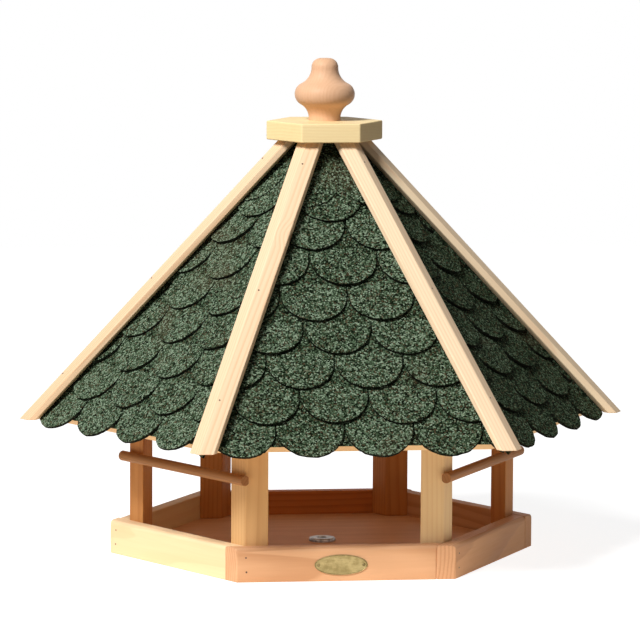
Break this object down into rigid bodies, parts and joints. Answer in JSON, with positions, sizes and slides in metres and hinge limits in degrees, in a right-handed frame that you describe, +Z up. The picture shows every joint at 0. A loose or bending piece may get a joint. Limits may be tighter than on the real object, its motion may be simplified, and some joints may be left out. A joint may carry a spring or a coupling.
{
  "type": "hexagonal bird feeder",
  "caption": "Hexagonal wooden bird feeder: open tray with lapped rim boards, rhombic posts, dowel perches, steep hipped roof of scalloped shingles with hip battens and a turned finial.",
  "frame": {"origin": "middle of the tray's underside, on the ground", "axes": "+Z up, front side faces -Y, tray corners on +X and -X"},
  "size_m": [0.6044, 0.5234, 0.4909],
  "materials": {
    "floor": "smooth brown panel",
    "socket": "zinc-grey steel",
    "cap": "planed pine with a yellow cast",
    "finial": "turned pine",
    "plate": "satin",
    "rim": "planed pine",
    "posts": "planed pine",
    "perches": "plain dowel",
    "roof_panels": "plain softwood panel",
    "shingles": "dark green mineral granules",
    "battens": "planed pale pine"
  },
  "bodies": {
    "root": {"floor_panel": "floor", "stand_socket": "socket", "cap_plate": "cap", "finial": "finial", "oval_plate": "plate", "rim_front": "rim", "rim_front_right": "rim", "rim_back_right": "rim", "rim_back": "rim", "rim_back_left": "rim", "rim_front_left": "rim", "post_front_right": "posts", "post_right": "posts", "post_back_right": "posts", "post_back_left": "posts", "post_left": "posts", "post_front_left": "posts", "perch_front_right": "perches", "perch_back": "perches", "perch_front_left": "perches", "roof_panel_front": "roof_panels", "roof_panel_front_right": "roof_panels", "roof_panel_back_right": "roof_panels", "roof_panel_back": "roof_panels", "roof_panel_back_left": "roof_panels", "roof_panel_front_left": "roof_panels", "shingles_front": "shingles", "shingles_front_right": "shingles", "shingles_back_right": "shingles", "shingles_back": "shingles", "shingles_back_left": "shingles", "shingles_front_left": "shingles", "hip_batten_front_right": "battens", "hip_batten_right": "battens", "hip_batten_back_right": "battens", "hip_batten_back_left": "battens", "hip_batten_left": "battens", "hip_batten_front_left": "battens"}
  },
  "joints": []
}
